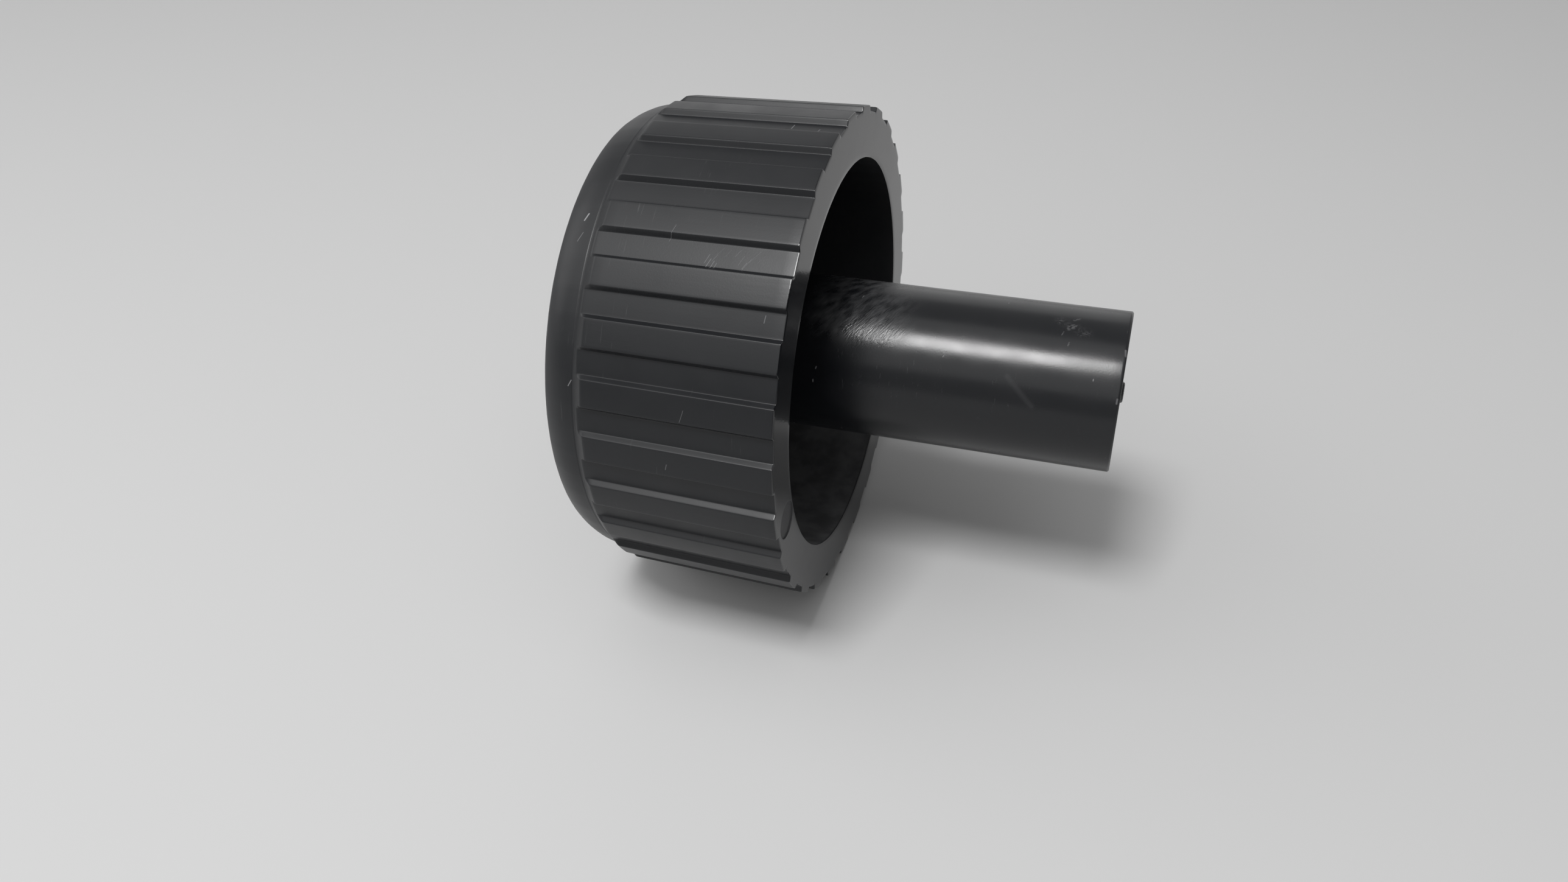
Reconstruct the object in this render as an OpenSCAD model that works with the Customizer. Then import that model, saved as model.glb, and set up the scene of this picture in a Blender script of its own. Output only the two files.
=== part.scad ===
// Adjustment knob of black plastic, moulded as one piece.
// A ribbed round grip with a flat cap, hollow from behind, on a solid round stem.
// It lies on its side: the axis is X, the stem points to +X and the rim's plane is at X = 0.
// All sizes are in millimetres.

/* [Grip] */
// Diameter over the rib crests at the open rim
grip_diameter = 38; // [37:0.5:42]
// Length of the ribbed band from the rim to the cap
rib_length = 14.8; // [10:0.1:18]
// Draft of the ribbed wall, wider at the rim
draft_angle = 1.1; // [0:0.1:2]

/* [Ribs] */
// Number of ribs, in fours so that a groove lies at the bottom
rib_count = 28; // [20:4:32]
// Height of a rib above the groove floor
rib_height = 0.4; // [0.3:0.05:0.6]
// Width of a rib's flat crest
rib_crest_width = 1.95; // [1.2:0.05:2.1]
// Sideways run of each sloping flank
rib_flank_run = 0.35; // [0.2:0.05:0.5]
// Run of the ramp at the cap end of the ribbed band
rib_end_run = 0.9; // [0.4:0.1:2]

/* [Cap] */
// Height of the smooth cap from the ribbed band to the outer face
cap_height = 2.8; // [2:0.1:3.4]
// Step from the groove floors down to the cap
cap_step = 0.3; // [0.1:0.05:0.6]
// Radius of the cap's broad shoulder
shoulder_radius = 4.1; // [3.5:0.1:8]
// Radius of the edge between shoulder and outer face
edge_radius = 0.8; // [0.4:0.1:1.5]

/* [Hollow] */
// Thickness of the wall at the rim, from the groove floors to the hollow
wall_thickness = 3.4; // [2:0.1:5]
// Thickness of the cap over the hollow
cap_thickness = 3; // [2:0.1:5]

/* [Stem] */
// Diameter of the stem
stem_diameter = 12; // [8:0.5:16]
// Reach of the stem past the rim
stem_reach = 21; // [12:0.5:30]
// Edge break at the stem's free end
stem_edge = 0.3; // [0.1:0.05:0.8]

/* [Moulding marks] */
// Diameter of the moulding gate's stub on the stem's end
gate_diameter = 1.6; // [1:0.1:2.5]
// Height of the gate's stub
gate_height = 0.2; // [0.1:0.05:0.5]
// Margin between the round ejector mark and the hollow's edge
mark_inner_margin = 0.15; // [0.1:0.05:0.5]
// Margin between the ejector mark and the groove floors
mark_outer_margin = 0.45; // [0.2:0.05:0.6]
// Depth of the ejector mark
mark_depth = 0.1; // [0.05:0.05:0.3]
// Angle of the ejector mark round the rim from the lowest point
mark_angle = -79; // [-180:1:180]

/* [Hidden] */
$fn = 96;
// How far joined and cutting solids run past the faces where they meet
overlap = 1;
// How far a rib's bar reaches into the wall, and out of the space that trims it
rib_sink = 0.5;
rib_over = 0.3;
crest_radius = grip_diameter / 2;
floor_radius = crest_radius - rib_height;
wall_end_radius = floor_radius - rib_length * tan(draft_angle);
cap_radius = wall_end_radius - cap_step;
crest_end_radius = crest_radius - (rib_length - rib_end_run) * tan(draft_angle);
flank_slope = rib_flank_run / rib_height;
head_length = rib_length + cap_height;
hollow_radius = floor_radius - wall_thickness;
hollow_depth = head_length - cap_thickness;
stem_radius = stem_diameter / 2;
mark_radius = (wall_thickness - mark_inner_margin - mark_outer_margin) / 2;
mark_centre = hollow_radius + mark_inner_margin + mark_radius;
shoulder_centre = cap_radius - shoulder_radius;
edge_drop = cap_height - edge_radius;
edge_reach = shoulder_radius - edge_radius;
edge_centre = shoulder_centre + sqrt(edge_reach * edge_reach - edge_drop * edge_drop);
blend_drop = shoulder_radius * edge_drop / edge_reach;

// Half section of the tapering wall under the ribs
module wall_section() {
  polygon([[0, 0], [floor_radius, 0], [wall_end_radius, -rib_length], [0, -rib_length]]);
}

// Half section of the cap: a broad shoulder that runs into a small edge radius and a flat face
module cap_section() {
  translate([0, -head_length]) square([edge_centre, cap_height]);
  translate([edge_centre, edge_radius - head_length]) circle(r = edge_radius);
  intersection() {
    translate([shoulder_centre, -rib_length]) circle(r = shoulder_radius);
    translate([0, -rib_length - blend_drop]) square([cap_radius + overlap, blend_drop]);
  }
}

// Round space that the ribbed band fills, with the ramp at the cap end
module band_envelope() {
  rotate_extrude()
    polygon([
      [0, 0],
      [crest_radius, 0],
      [crest_end_radius, rib_end_run - rib_length],
      [cap_radius, -rib_length],
      [0, -rib_length]
    ]);
}

// One straight bar with sloping flanks, leaning in with the draft
module rib_bar() {
  foot = rib_height + rib_sink;
  translate([crest_radius, 0, 0])
    rotate([0, draft_angle, 0])
      translate([0, 0, -rib_length - overlap])
        linear_extrude(height = rib_length + 2 * overlap)
          polygon([
            [rib_over, rib_crest_width / 2 - rib_over * flank_slope],
            [-foot, rib_crest_width / 2 + foot * flank_slope],
            [-foot, -rib_crest_width / 2 - foot * flank_slope],
            [rib_over, rib_over * flank_slope - rib_crest_width / 2]
          ]);
}

// Wall and ribs, cut to one ramp at the cap end
module ribbed_band() {
  intersection() {
    band_envelope();
    union() {
      rotate_extrude() wall_section();
      for (i = [0 : rib_count - 1])
        rotate([0, 0, (i + 0.5) * 360 / rib_count]) rib_bar();
    }
  }
}

module head() {
  difference() {
    union() {
      ribbed_band();
      rotate_extrude() cap_section();
    }
    translate([0, 0, -hollow_depth]) cylinder(r = hollow_radius, h = hollow_depth + overlap);
    rotate([0, 0, mark_angle])
      translate([mark_centre, 0, -mark_depth]) cylinder(r = mark_radius, h = mark_depth + overlap);
  }
}

module stem() {
  rotate_extrude()
    polygon([
      [0, -hollow_depth - overlap],
      [stem_radius, -hollow_depth - overlap],
      [stem_radius, stem_reach - stem_edge],
      [stem_radius - stem_edge, stem_reach],
      [0, stem_reach]
    ]);
  translate([0, 0, stem_reach - overlap]) cylinder(r = gate_diameter / 2, h = gate_height + overlap);
}

// The whole knob is one moulding, laid on its side
module knob() {
  color([0.03, 0.03, 0.034])
    rotate([0, 90, 0])
      union() {
        head();
        stem();
      }
}

knob();
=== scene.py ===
import math

import bmesh
import bpy
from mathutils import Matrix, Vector


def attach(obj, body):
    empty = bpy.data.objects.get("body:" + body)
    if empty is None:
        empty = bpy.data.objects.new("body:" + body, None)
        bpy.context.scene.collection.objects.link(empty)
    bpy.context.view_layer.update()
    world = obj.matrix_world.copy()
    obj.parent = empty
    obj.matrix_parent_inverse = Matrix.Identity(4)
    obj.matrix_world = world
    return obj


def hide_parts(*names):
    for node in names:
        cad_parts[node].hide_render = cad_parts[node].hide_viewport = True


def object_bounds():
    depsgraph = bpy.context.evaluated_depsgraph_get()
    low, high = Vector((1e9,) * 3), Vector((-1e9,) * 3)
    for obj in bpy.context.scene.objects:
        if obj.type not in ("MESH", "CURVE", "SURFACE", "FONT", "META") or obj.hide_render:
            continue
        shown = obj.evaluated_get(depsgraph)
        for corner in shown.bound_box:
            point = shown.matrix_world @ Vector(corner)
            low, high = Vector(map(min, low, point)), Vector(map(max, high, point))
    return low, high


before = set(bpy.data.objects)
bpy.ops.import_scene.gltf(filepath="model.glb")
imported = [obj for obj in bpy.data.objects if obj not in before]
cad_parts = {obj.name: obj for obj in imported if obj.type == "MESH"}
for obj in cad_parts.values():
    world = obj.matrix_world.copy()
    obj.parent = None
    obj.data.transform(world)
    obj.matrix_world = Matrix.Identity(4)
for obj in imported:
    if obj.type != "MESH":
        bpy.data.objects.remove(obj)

cad_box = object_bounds()

# Ribbed grip: the round wall that the fingers turn, part of one moulding of black plastic.
# Its draft makes it widest at the open rim, where one rib's outline is drawn and copied round the axis.
# The ribs are low and flat on top, and the whole band runs out in one short ramp before the cap.
MM = 0.001
rib_count = 28
crest_radius = 19.0 * MM
floor_radius = 18.6 * MM
crest_half_width = 1.0 * MM
foot_half_width = 1.24 * MM
crest_softness = 0.05 * MM
foot_softness = 0.04 * MM
rim_softness = 0.15 * MM
rib_length = 14.8 * MM
ramp_run = 0.9 * MM
ramp_softness = 0.14 * MM
cap_step = 0.3 * MM
draft = math.tan(math.radians(1.1))
# Two places nearer than this count as one
hair = 0.005 * MM


def rib_outline():
    """Angle from a rib's middle and radius of each corner, from the middle of one groove to the next."""
    run = foot_half_width - crest_half_width
    drop = crest_radius - floor_radius
    flank = math.hypot(run, drop)

    def on_flank(way):
        return crest_half_width + run * way / flank, crest_radius - drop * way / flank

    half = [
        (0, crest_radius),
        (crest_half_width - crest_softness, crest_radius),
        (crest_half_width, crest_radius),
        on_flank(crest_softness),
        on_flank(flank - foot_softness),
        (foot_half_width, floor_radius),
        (foot_half_width + foot_softness, floor_radius),
        (math.pi * floor_radius / rib_count, floor_radius),
    ]
    half = [(width / radius, radius) for width, radius in half]
    return [(-angle, radius) for angle, radius in reversed(half)] + half[1:]


def edit_shell():
    return bmesh.from_edit_mesh(bpy.context.object.data)


def pick(test):
    """Selects the vertices of the mesh in edit mode that pass the test, and nothing else."""
    bpy.ops.mesh.select_all(action="DESELECT")
    shell = edit_shell()
    for vertex in shell.verts:
        vertex.select = test(vertex)
    shell.select_flush_mode()
    bmesh.update_edit_mesh(bpy.context.object.data)


def radius_of(vertex):
    return math.hypot(vertex.co.y, vertex.co.z)


def widen(factor):
    bpy.ops.transform.resize(value=(1, factor, factor), center_override=(0, 0, 0))


def follow(profile):
    """Extrudes the selected ring along a profile of places on the axis and radii, from its first point."""
    for (x, radius), (next_x, next_radius) in zip(profile, profile[1:]):
        bpy.ops.mesh.extrude_region_move(TRANSFORM_OT_translate={"value": (next_x - x, 0, 0)})
        widen(next_radius / radius)


def reshape_ring(new_radius):
    """Gives every vertex of the selected ring the radius that new_radius makes of its present one."""
    ring = {vertex.index: radius_of(vertex) for vertex in edit_shell().verts if vertex.select}
    for level in {round(radius / hair): radius for radius in ring.values()}.values():
        pick(lambda vertex: abs(ring.get(vertex.index, 0) - level) < 2 * hair)
        widen(new_radius(level) / level)
    pick(lambda vertex: vertex.index in ring)


# A small plane, drawn together to one vertex, is the first corner of the outline
bpy.ops.object.select_all(action="DESELECT")
bpy.ops.mesh.primitive_plane_add(size=MM)
knob = bpy.context.object
knob.name = "moulded_knob"
bpy.ops.object.mode_set(mode="EDIT")
bpy.ops.mesh.select_mode(type="VERT")
bpy.ops.mesh.select_all(action="SELECT")
bpy.ops.mesh.merge(type="CENTER")

corners = []
for angle, radius in rib_outline():
    turn = angle + math.pi / rib_count
    corners.append(Vector((0, radius * math.cos(turn), radius * math.sin(turn))))
bpy.ops.transform.translate(value=corners[0])
for corner, next_corner in zip(corners, corners[1:]):
    bpy.ops.mesh.extrude_region_move(TRANSFORM_OT_translate={"value": next_corner - corner})
bpy.ops.mesh.select_all(action="SELECT")
bpy.ops.mesh.spin(steps=rib_count, dupli=True, angle=2 * math.pi, center=(0, 0, 0), axis=(1, 0, 0))
bpy.ops.mesh.select_all(action="SELECT")
bpy.ops.mesh.remove_doubles(threshold=hair)

straight_length = rib_length - ramp_run
crest_end_radius = crest_radius - straight_length * draft
cap_radius = floor_radius - rib_length * draft - cap_step
ramp_slope = (crest_end_radius - cap_radius) / ramp_run
groove_end = straight_length + (crest_radius - floor_radius) / (ramp_slope - draft)
depths = [
    0,
    rim_softness,
    straight_length / 3,
    straight_length * 2 / 3,
    straight_length - ramp_softness,
    straight_length,
    straight_length + ramp_softness,
    groove_end - ramp_softness,
    groove_end,
    groove_end + ramp_softness,
    rib_length - ramp_softness,
    rib_length,
]
for depth, next_depth in zip(depths, depths[1:]):
    follow([(-depth, crest_radius - depth * draft), (-next_depth, crest_radius - next_depth * draft)])
    ramp = crest_end_radius - (next_depth - straight_length) * ramp_slope
    if next_depth > straight_length:
        reshape_ring(lambda radius: min(radius, ramp))

# Cap: the smooth closed end of the same moulding, on the side away from the stem.
# A broad shoulder runs through a small edge radius into a flat face.
# The two halves of the mould met at the foot of the ramp and left a thin raised line there.
cap_face = cad_box[0].x
shoulder_radius = 4.1 * MM
shoulder_steps = 6
edge_radius = 0.8 * MM
edge_steps = 5
parting_depth = 0.12 * MM
parting_half_width = 0.06 * MM
parting_height = 0.018 * MM
face_rings = (16.3 * MM, 10.0 * MM)
face_middle_radius = 5.0 * MM
face_middle_columns = 56


def pick_rings(x, *radii):
    """Selects the rings of those radii that lie at one place on the axis."""
    pick(
        lambda vertex: abs(vertex.co.x - x) < hair
        and min(abs(radius_of(vertex) - radius) for radius in radii) < hair
    )


cap_height = -cap_face - rib_length
shoulder_centre = cap_radius - shoulder_radius
edge_reach = shoulder_radius - edge_radius
edge_turn = math.asin((cap_height - edge_radius) / edge_reach)
edge_centre = shoulder_centre + edge_reach * math.cos(edge_turn)
parting_place = -rib_length - parting_depth

cap_profile = [
    (-rib_length, cap_radius),
    (parting_place + parting_half_width, cap_radius),
    (parting_place, cap_radius + parting_height),
    (parting_place - parting_half_width, cap_radius),
]
for step in range(1, shoulder_steps + 1):
    turn = edge_turn * step / shoulder_steps
    cap_profile.append(
        (-rib_length - shoulder_radius * math.sin(turn), shoulder_centre + shoulder_radius * math.cos(turn))
    )
for step in range(1, edge_steps + 1):
    turn = edge_turn + (math.pi / 2 - edge_turn) * step / edge_steps
    cap_profile.append(
        (cap_face + edge_radius * (1 - math.sin(turn)), edge_centre + edge_radius * math.cos(turn))
    )
cap_profile += [(cap_face, radius) for radius in face_rings]
follow(cap_profile)
bpy.ops.mesh.primitive_circle_add(
    vertices=face_middle_columns,
    radius=face_middle_radius,
    location=(cap_face, 0, 0),
    rotation=(0, math.pi / 2, 0),
)
bpy.ops.mesh.fill_grid(span=face_middle_columns // 4)
pick_rings(cap_face, face_rings[-1], face_middle_radius)
bpy.ops.mesh.bridge_edge_loops()

# Rim and hollow: the open end of the head, a flat ring round a deep hollow with a plain floor.
# A core of the mould formed both in the same black plastic, and left the rim's edges crisp.
rim_circle = 17.5 * MM
hollow_radius = 15.2 * MM
hollow_depth = 14.6 * MM
mouth_softness = 0.14 * MM
hollow_softness = 0.4 * MM
hollow_floor_ring = 10.5 * MM

pick(lambda vertex: abs(vertex.co.x) < hair)
follow([(0, floor_radius), (0, floor_radius - rim_softness), (0, floor_radius - 2 * rim_softness)])
reshape_ring(lambda radius: rim_circle)
follow([
    (0, rim_circle),
    (0, hollow_radius + mouth_softness),
    (0, hollow_radius),
    (-mouth_softness, hollow_radius),
    (-hollow_depth / 2, hollow_radius),
    (hollow_softness - hollow_depth, hollow_radius),
    (-hollow_depth, hollow_radius),
    (-hollow_depth, hollow_radius - hollow_softness),
    (-hollow_depth, hollow_floor_ring),
])

# Stem: the solid round peg of the knob, rising from the floor of the hollow past the rim.
# It is of the same moulding, which was filled through a gate at the stem's free end.
# The broken stub of the gate is still there.
stem_tip = cad_box[1].x
stub_height = 0.2 * MM
stub_radius = 0.8 * MM
stub_softness = 0.06 * MM
stub_raggedness = 0.03 * MM
stem_end = stem_tip - stub_height
stem_radius = 6.0 * MM
stem_columns = 112
stem_rings = 8
root_softness = 0.4 * MM
end_break = 0.12 * MM
end_softness = 0.03 * MM

bpy.ops.mesh.primitive_circle_add(
    vertices=stem_columns,
    radius=stem_radius + root_softness,
    location=(-hollow_depth, 0, 0),
    rotation=(0, math.pi / 2, 0),
)
stem_foot = root_softness - hollow_depth
break_start = stem_end - end_break
stem_profile = [
    (-hollow_depth, stem_radius + root_softness),
    (-hollow_depth, stem_radius),
    (stem_foot, stem_radius),
]
for step in range(1, stem_rings):
    stem_profile.append((stem_foot + (break_start - stem_foot) * step / stem_rings, stem_radius))
stem_profile += [
    (break_start - end_softness, stem_radius),
    (break_start, stem_radius),
    (break_start + end_softness, stem_radius - end_softness),
    (stem_end - end_softness, stem_radius - end_break + end_softness),
    (stem_end, stem_radius - end_break),
    (stem_end, stem_radius - end_break - end_softness),
    (stem_end, stem_radius / 2),
    (stem_end, stub_radius + stub_softness),
    (stem_end, stub_radius),
    (stem_end + stub_softness, stub_radius - stub_raggedness),
    (stem_tip - stub_raggedness, stub_radius - stub_softness),
    (stem_tip - stub_raggedness, stub_radius / 2),
]
follow(stem_profile)
bpy.ops.mesh.fill_grid(span=stem_columns // 4)
pick(lambda vertex: vertex.co.x > stem_end + hair)
bpy.ops.transform.vertex_random(offset=stub_raggedness, seed=3)
pick_rings(-hollow_depth, hollow_floor_ring, stem_radius + root_softness)
bpy.ops.mesh.bridge_edge_loops()
bpy.ops.mesh.select_all(action="SELECT")
bpy.ops.mesh.normals_make_consistent(inside=False)
bpy.ops.object.mode_set(mode="OBJECT")
rounding = knob.modifiers.new("rounding", "SUBSURF")
rounding.levels = 1
rounding.render_levels = 1
bpy.ops.object.modifier_apply(modifier=rounding.name)

# Ejector mark: the round print in the rim of a pin that pushed the knob out of the mould.
# It is a shallow recess in the same black plastic, with a flat floor and a crisp edge.
mark_radius = 1.4 * MM
mark_depth = 0.1 * MM
mark_circle = 16.75 * MM
mark_angle = math.radians(-11)
pin_columns = 72
crease_angle = math.radians(40)
mark_place = (0, -mark_circle * math.cos(mark_angle), mark_circle * math.sin(mark_angle))

bpy.ops.object.select_all(action="DESELECT")
bpy.ops.mesh.primitive_cylinder_add(
    vertices=pin_columns,
    radius=mark_radius,
    depth=2 * mark_depth,
    location=mark_place,
    rotation=(0, math.pi / 2, 0),
)
ejector_pin = bpy.context.object
bpy.context.view_layer.objects.active = knob
print_of_pin = knob.modifiers.new("print_of_pin", "BOOLEAN")
print_of_pin.operation = "DIFFERENCE"
print_of_pin.object = ejector_pin
bpy.ops.object.modifier_apply(modifier=print_of_pin.name)
bpy.data.objects.remove(ejector_pin)

# The moulding is now whole, so its round walls are shaded smooth and its flat faces stay flat
knob.select_set(True)
bpy.ops.object.shade_smooth_by_angle(angle=crease_angle)
flat_faces = knob.modifiers.new("flat_faces", "WEIGHTED_NORMAL")
flat_faces.keep_sharp = True
bpy.ops.object.modifier_apply(modifier=flat_faces.name)

# Black plastic: the skin of the whole moulding, satin on the grip, glossier on the stem and the rim.
# Handling left fine scratches round the axis, a few nicks and dents, and grey scuffs at the stem's root.
# The grip's scratches are painted light grey, partly their own whitening and partly a painted glint where
# they catch the light.
# Marks are placed in millimetres along the axis and degrees round it, counted up from the front.
# The plastic's slight blue tint is a painted reflection of bluish surroundings, not the plastic's own hue
plastic_colour = (0.0075, 0.0082, 0.0098, 1)
wear_and_light_grey = (0.36, 0.36, 0.37, 1)
wear_and_light_share = 0.85
plastic_sheen = 0.42
satin_roughness = 0.4
stem_gloss = 0.16
rim_gloss = 0.27
hollow_dullness = 0.12
wear_dullness = 0.22
dulling_gain = 6.0
cloud_dullness = 0.2
cloud_middle = 0.5
grain_height = 0.0024
draw_line_height = 0.0022
scratch_depth = 0.006
hatch_depth = 0.02
smear_depth = 0.012
scuff_share = 0.2
smear_share = 0.25
hairline_share = 0.07
hollow_light_share = 0.32
print_share = 0.06
print_edge_share = 0.2
streak_lean = 3.5

# Start and end of each mark, its half width in millimetres, and how plainly it shows
grip_marks = [
    (-8.7, 56.6, -9.05, 53.4, 0.025, 0.4),
    (-6.3, 19.2, -6.55, 16.6, 0.03, 0.3),
    (-7.6, 6.3, -7.7, 5.0, 0.04, 0.4),
    (-1.4, 40.4, -1.45, 38.9, 0.04, 0.5),
    (-3.75, 91.4, -3.8, 89.5, 0.05, 0.55),
    (-1.75, 90.0, -1.85, 88.6, 0.05, 0.55),
    (-6.0, 51.5, -6.25, 49.6, 0.03, 0.5),
    (-5.85, 50.6, -6.1, 48.8, 0.035, 0.6),
    (-5.6, 50.2, -5.8, 48.5, 0.035, 0.6),
    (-5.45, 51.6, -5.75, 50.2, 0.025, 0.4),
    (-5.4, 49.8, -5.55, 48.6, 0.035, 0.5),
    (-5.1, 53.2, -5.5, 51.6, 0.02, 0.3),
    (-4.6, 52.9, -4.9, 51.4, 0.02, 0.3),
    (-3.9, 53.1, -4.25, 51.6, 0.025, 0.4),
    (-3.6, 51.9, -3.9, 49.9, 0.025, 0.4),
    (-2.5, 53.4, -3.3, 50.4, 0.02, 0.4),
    (-3.1, 51.4, -3.6, 48.9, 0.025, 0.45),
    (-3.35, 50.6, -3.6, 49.2, 0.03, 0.5),
    (-2.2, 52.4, -2.6, 50.8, 0.02, 0.3),
    (-15.6, 58.4, -15.8, 56.8, 0.09, 1.0),
    (-15.6, 53.8, -15.9, 51.7, 0.04, 0.5),
    (-14.9, 21.2, -15.15, 19.8, 0.05, 0.7),
]
stem_marks = [
    (13.1, 35.0, 15.05, 17.0, 0.34, 0.035),
    (19.0, 40.0, 19.0, 41.0, 0.06, 0.6),
    (12.1, 98.0, 12.1, 99.0, 0.07, 0.5),
    (8.35, 42.5, 8.4, 43.5, 0.05, 0.5),
    (1.45, 82.0, 1.5, 84.0, 0.06, 0.5),
    (-1.1, 12.0, -1.1, 13.5, 0.07, 0.5),
    (-0.95, 22.0, -0.9, 23.5, 0.06, 0.5),
    (20.9, 60.0, 20.85, 64.0, 0.12, 0.35),
    (20.8, 27.0, 20.8, 30.0, 0.1, 0.35),
]
stem_smears = [
    (15.95, 80.5, 16.1, 84.0, 0.2, 0.6),
    (16.75, 77.0, 17.1, 79.5, 0.35, 1.0),
    (17.0, 86.0, 17.3, 88.0, 0.2, 0.6),
    (17.6, 72.0, 18.2, 74.5, 0.3, 0.35),
    (16.0, 84.0, 18.0, 74.0, 0.7, 0.16),
    (16.35, 70.0, 16.45, 73.0, 0.06, 0.8),
    (16.9, 62.0, 16.95, 64.5, 0.09, 0.6),
]
grip_mark_circle = 18.8
stem_mark_circle = 6.0

# Where each zone of the skin fades in, in millimetres along the axis, out from it or up
inside_cap = (-15.2, -14.9)
outside_cap = (-15.0, -15.3)
below_rim = (-0.02, -0.2)
rim_level = (-0.1, -0.04)
stem_wall = (6.9, 6.5)
off_stem = (6.5, 6.9)
hollow_wall = (15.36, 15.24)
rim_bore = (15.1, 15.2)
grip_wall = (15.3, 15.5)
hollow_light_level = (-3.0, -13.0)

# Where a patch on the stem starts and ends along the axis, and its lower and upper side in radians
hatch_patch = ((0.0, 1.2), (6.0, 3.5), (0.65, 0.9), (1.75, 1.25))
smudge_patch = ((-3.0, -0.5), (6.5, 3.0), (0.7, 1.05), (2.9, 2.2))

# How far from the middle of the pin's print its floor and its edge fade in and out
print_floor = (1.42, 1.34)
print_edge_inside = (1.3, 1.37)
print_edge_outside = (1.46, 1.4)

plastic = bpy.data.materials.new("black_plastic")
plastic.use_nodes = True
shader = plastic.node_tree.nodes["Principled BSDF"]
scratch = bpy.data.node_groups.new("scratch", "ShaderNodeTree")


def feed(socket, value):
    """Links another node's output to a socket, or writes a plain value there."""
    if isinstance(value, bpy.types.NodeSocket):
        socket.id_data.links.new(value, socket)
    else:
        socket.default_value = value


def reckon(operation, *values, tree=plastic.node_tree):
    node = tree.nodes.new("ShaderNodeMath")
    node.operation = operation
    for socket, value in zip(node.inputs, values):
        feed(socket, value)
    return node.outputs[0]


def product(first, *others):
    for other in others:
        first = reckon("MULTIPLY", first, other)
    return first


def total(first, *others):
    for other in others:
        first = reckon("ADD", first, other)
    return first


def vector(operation, *values, tree=plastic.node_tree):
    node = tree.nodes.new("ShaderNodeVectorMath")
    node.operation = operation
    for socket, value in zip(node.inputs, values):
        feed(socket, value)
    return node.outputs["Value" if operation in ("DOT_PRODUCT", "LENGTH", "DISTANCE") else "Vector"]


def point(*values):
    node = plastic.node_tree.nodes.new("ShaderNodeCombineXYZ")
    for socket, value in zip(node.inputs, values):
        feed(socket, value)
    return node.outputs[0]


def fade(value, start, end, tree=plastic.node_tree):
    """A mask that is 0 at start and 1 at end, smooth between them and level outside."""
    node = tree.nodes.new("ShaderNodeMapRange")
    node.interpolation_type = "SMOOTHSTEP"
    feed(node.inputs["Value"], value)
    feed(node.inputs["From Min"], start)
    feed(node.inputs["From Max"], end)
    return node.outputs["Result"]


def clouds(place, scale, detail=2.0):
    node = plastic.node_tree.nodes.new("ShaderNodeTexNoise")
    feed(node.inputs["Vector"], place)
    feed(node.inputs["Scale"], scale)
    feed(node.inputs["Detail"], detail)
    return node.outputs["Fac"]


# One straight mark: a mask that is strongest on the line from start to end and fades to its half width
for name in ("Place", "Start", "End"):
    scratch.interface.new_socket(name, in_out="INPUT", socket_type="NodeSocketVector")
scratch.interface.new_socket("Half Width", in_out="INPUT", socket_type="NodeSocketFloat")
scratch.interface.new_socket("Strength", in_out="INPUT", socket_type="NodeSocketFloat")
scratch.interface.new_socket("Mask", in_out="OUTPUT", socket_type="NodeSocketFloat")
given = scratch.nodes.new("NodeGroupInput").outputs
reach = vector("SUBTRACT", given["End"], given["Start"], tree=scratch)
way = vector("SUBTRACT", given["Place"], given["Start"], tree=scratch)
length = vector("DOT_PRODUCT", reach, reach, tree=scratch)
along = reckon("DIVIDE", vector("DOT_PRODUCT", way, reach, tree=scratch), length, tree=scratch)
along = reckon("MINIMUM", reckon("MAXIMUM", along, 0.0, tree=scratch), 1.0, tree=scratch)
nearest = scratch.nodes.new("ShaderNodeVectorMath")
nearest.operation = "SCALE"
feed(nearest.inputs[0], reach)
feed(nearest.inputs["Scale"], along)
miss = vector("DISTANCE", way, nearest.outputs["Vector"], tree=scratch)
line = fade(miss, given["Half Width"], 0.0, tree=scratch)
feed(
    scratch.nodes.new("NodeGroupOutput").inputs["Mask"],
    reckon("MULTIPLY", line, given["Strength"], tree=scratch),
)


def marks(place, circle, measured):
    """One mask for a list of marks on a surface unrolled to millimetres, at the circle's radius."""
    masks = []
    for start, start_angle, end, end_angle, half_width, strength in measured:
        node = plastic.node_tree.nodes.new("ShaderNodeGroup")
        node.node_tree = scratch
        feed(node.inputs["Place"], place)
        feed(node.inputs["Start"], (start, math.radians(start_angle) * circle, 0))
        feed(node.inputs["End"], (end, math.radians(end_angle) * circle, 0))
        feed(node.inputs["Half Width"], half_width)
        feed(node.inputs["Strength"], strength)
        masks.append(node.outputs["Mask"])
    mask = masks[0]
    for other in masks[1:]:
        mask = reckon("MAXIMUM", mask, other)
    return mask


millimetres = plastic.node_tree.nodes.new("ShaderNodeVectorMath")
millimetres.operation = "SCALE"
feed(millimetres.inputs[0], plastic.node_tree.nodes.new("ShaderNodeTexCoord").outputs["Object"])
feed(millimetres.inputs["Scale"], 1 / MM)
place = millimetres.outputs["Vector"]
axes = plastic.node_tree.nodes.new("ShaderNodeSeparateXYZ")
feed(axes.inputs[0], place)
x, y, z = axes.outputs
radius = vector("LENGTH", point(0.0, y, z))
angle = reckon("ARCTAN2", z, product(y, -1.0))

from_cap_floor = fade(x, *inside_cap)
on_stem = product(fade(radius, *stem_wall), from_cap_floor)
in_hollow = product(
    fade(radius, *hollow_wall), from_cap_floor, fade(x, *below_rim), fade(radius, *off_stem)
)
on_rim = product(fade(x, *rim_level), fade(radius, *rim_bore))
on_grip = reckon("MAXIMUM", fade(radius, *grip_wall), fade(x, *outside_cap))

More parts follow.
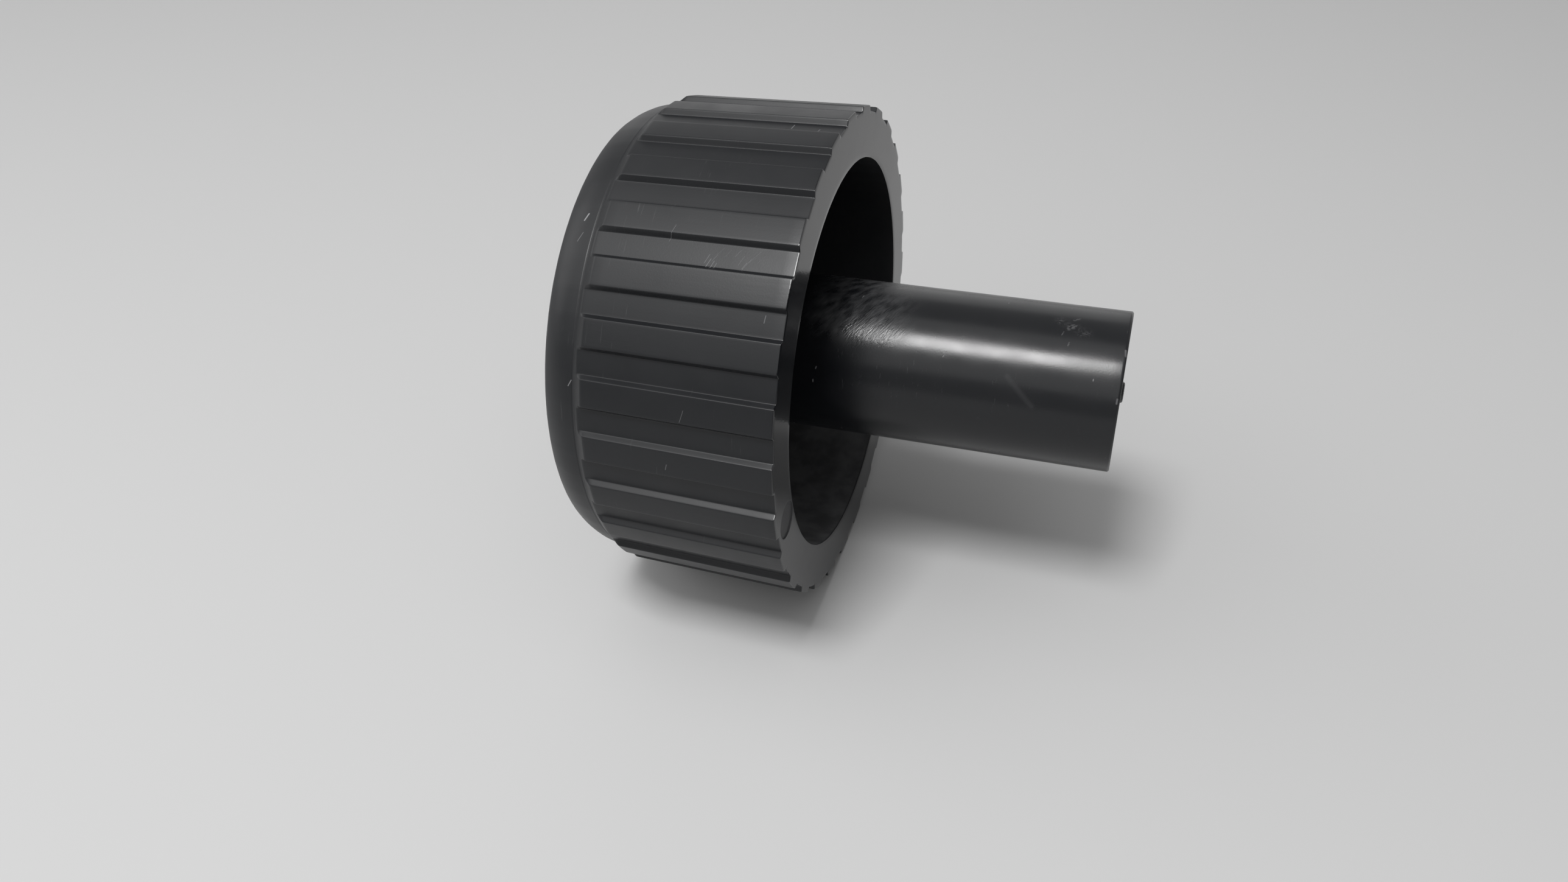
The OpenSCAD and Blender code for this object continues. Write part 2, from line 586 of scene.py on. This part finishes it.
# The grip's scratches and nicks are real marks, and their light grey also paints the glint they catch
grip_place = point(x, product(angle, grip_mark_circle), 0.0)
grip_scratches_and_glints = product(marks(grip_place, grip_mark_circle, grip_marks), on_grip)
stem_place = point(x, product(angle, stem_mark_circle), 0.0)
stem_wear = product(marks(stem_place, stem_mark_circle, stem_marks), on_stem)
smear_breaks = fade(clouds(place, scale=5.0), start=0.38, end=0.62)
smears = product(marks(stem_place, stem_mark_circle, stem_smears), smear_breaks, on_stem)

# Fine hairlines all round, much longer round the axis than along it
round_y = reckon("DIVIDE", y, radius)
round_z = reckon("DIVIDE", z, radius)


def streaks(along, around):
    """Clouds drawn out on a round wall: how many to a millimetre along it and to a radian round it."""
    return clouds(point(product(x, along), product(round_y, around), product(round_z, around)), scale=1.0)


hairlines = product(
    fade(streaks(along=7.0, around=9.0), start=0.66, end=0.76),
    fade(clouds(place, scale=0.22), start=0.48, end=0.66),
    hairline_share,
)

# Grey scuffs and a fine hatch at the stem's root, in streaks that lean a little along the axis
lean_x = total(x, product(angle, -streak_lean))


def leaning_clouds(along, around, layer, detail):
    """Clouds that lean along the stem: how many to a millimetre along it and to a radian round it."""
    return clouds(point(product(lean_x, along), product(angle, around), layer), scale=1.0, detail=detail)


def stem_patch(start, end, low, high):
    """A mask for a patch of the stem that fades at both ends along the axis and at both sides."""
    return product(fade(x, *start), fade(x, *end), fade(angle, *low), fade(angle, *high), on_stem)


def lifted(mask, least):
    """The mask, raised so that its lowest value is the least one given."""
    return total(product(mask, 1 - least), least)


hatch = leaning_clouds(along=8.5, around=14.0, layer=0.0, detail=2.0)
smudges = fade(leaning_clouds(along=1.6, around=5.0, layer=3.0, detail=4.0), start=0.28, end=0.8)
scuffs = product(
    smudges, lifted(fade(hatch, start=0.25, end=0.75), least=0.5), stem_patch(*smudge_patch)
)

# The pin's print in the rim is a little greyer and duller than the rim, most of all at its edge
print_centre = [distance / MM for distance in mark_place]
from_print = vector("DISTANCE", place, print_centre)
print_edge = product(
    fade(from_print, *print_edge_inside), fade(from_print, *print_edge_outside), print_edge_share
)
print_skin = total(product(fade(from_print, *print_floor), print_share), print_edge)

# Painted light: the lower wall of the hollow is painted a little lighter, in soft mottles, where light
# falls in through the mouth
hollow_light_mottle = lifted(fade(clouds(place, scale=0.5, detail=4.0), start=0.3, end=0.7), least=0.4)
hollow_painted_light = product(hollow_light_mottle, fade(z, *hollow_light_level), in_hollow, hollow_light_share)

# Every mark mixes the plastic toward one light grey: real wear, the painted glint on the grip's scratches
# and the painted light on the hollow's lower wall
faint_wear_and_light = total(
    hairlines, product(scuffs, scuff_share), product(smears, smear_share), print_skin, hollow_painted_light
)
wear_and_light = reckon("MAXIMUM", reckon("MAXIMUM", grip_scratches_and_glints, stem_wear), faint_wear_and_light)
colour = plastic.node_tree.nodes.new("ShaderNodeMix")
colour.data_type = "RGBA"
feed(colour.inputs["Factor"], product(wear_and_light, wear_and_light_share))
feed(colour.inputs["A"], plastic_colour)
feed(colour.inputs["B"], wear_and_light_grey)
feed(shader.inputs["Base Color"], colour.outputs["Result"])

# The skin: smooth clouds of handling, duller where it is worn, glossier on the stem and the rim
cloudiness = product(total(clouds(place, scale=0.35, detail=3.0), -cloud_middle), cloud_dullness)
dulled = reckon("MINIMUM", product(wear_and_light, dulling_gain), 1.0)
roughness = total(
    satin_roughness,
    cloudiness,
    product(on_stem, -stem_gloss),
    product(on_rim, -rim_gloss),
    product(in_hollow, hollow_dullness),
    product(dulled, wear_dullness),
)
feed(shader.inputs["Roughness"], roughness)
feed(shader.inputs["Specular IOR Level"], plastic_sheen)

# The surface in millimetres: a fine grain, faint lines along the mould's draw, and the scratches and dents
height = total(
    product(clouds(place, scale=9.0), grain_height),
    product(streaks(along=0.12, around=60.0), on_grip, draw_line_height),
    product(wear_and_light, -scratch_depth),
    product(hatch, stem_patch(*hatch_patch), hatch_depth),
    product(smears, -smear_depth),
)
relief = plastic.node_tree.nodes.new("ShaderNodeBump")
feed(relief.inputs["Distance"], MM)
feed(relief.inputs["Height"], height)
feed(shader.inputs["Normal"], relief.outputs["Normal"])
knob.data.materials.clear()
knob.data.materials.append(plastic)
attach(knob, "root")
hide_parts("knob")

# Floor: a plain pale table top with a matt skin.
# The knob lies on two of its ribs, so the top is level with the lowest edges of the moulding.
floor_size = 3.0
table_colour = (0.6, 0.6, 0.6, 1)
table_roughness = 0.7

bpy.ops.object.select_all(action="DESELECT")
bpy.ops.mesh.primitive_plane_add(size=floor_size, location=(0, 0, cad_box[0].z))
table_top = bpy.context.object
table_top.name = "table_top"
table_paint = bpy.data.materials.new("pale_table_top")
table_paint.use_nodes = True
table_shader = table_paint.node_tree.nodes["Principled BSDF"]
feed(table_shader.inputs["Base Color"], table_colour)
feed(table_shader.inputs["Roughness"], table_roughness)
table_top.data.materials.append(table_paint)

# Light: a small soft box overhead, a little to the front and left, in front of a wide dim one.
# A dim panel at the left lights the cap's shoulder, and another at the back the upper edges.
# The room is even and pale, and shows brighter in reflections than it lights the knob.
room_light = 0.14
room_pallor = 0.4
room_colour = (1, 1, 1, 1)
room = bpy.data.worlds.new("pale_room")
room.use_nodes = True
backdrop = room.node_tree.nodes["Background"]
feed(backdrop.inputs["Color"], room_colour)
ray = room.node_tree.nodes.new("ShaderNodeLightPath").outputs
seen = ray["Is Camera Ray"]
for other in (ray["Is Glossy Ray"], ray["Is Transmission Ray"]):
    seen = reckon("MAXIMUM", seen, other, tree=room.node_tree)
strength = reckon("MULTIPLY_ADD", seen, room_pallor - room_light, room_light, tree=room.node_tree)
feed(backdrop.inputs["Strength"], strength)
bpy.context.scene.world = room
for name, spot, size, watts in (
    ("soft_box", (-0.045, -0.17, 0.41), 0.12, 1.2),
    ("wide_soft_box", (-0.06, -0.23, 0.47), 0.85, 1.65),
    ("left_panel", (-0.55, -0.02, 0.28), 0.4, 0.7),
    ("back_panel", (-0.2, 0.6, 0.16), 0.5, 0.35),
):
    bpy.ops.object.light_add(type="AREA", location=spot)
    lamp = bpy.context.object
    lamp.name = name
    lamp.data.shape = "SQUARE"
    lamp.data.size = size
    lamp.data.energy = watts
    lamp.rotation_euler = Vector(spot).to_track_quat("Z", "Y").to_euler()

# Camera: held close above the front of the knob, a little to the stem's side.
# Its lens is as wide as a phone's, so the near ribs look longer than the far ones.
camera_place = (0.02102, -0.07401, 0.05192)
camera_turn = (51.838, 2.718, 17.792)
sensor_width = 36
lens_length = 26.866
nearest_sight = 0.001

bpy.ops.object.camera_add(
    location=camera_place, rotation=[math.radians(turn) for turn in camera_turn]
)
camera = bpy.context.object
camera.data.sensor_width = sensor_width
camera.data.lens = lens_length
camera.data.clip_start = nearest_sight
bpy.context.scene.camera = camera

bpy.context.scene.view_settings.view_transform = "Standard"
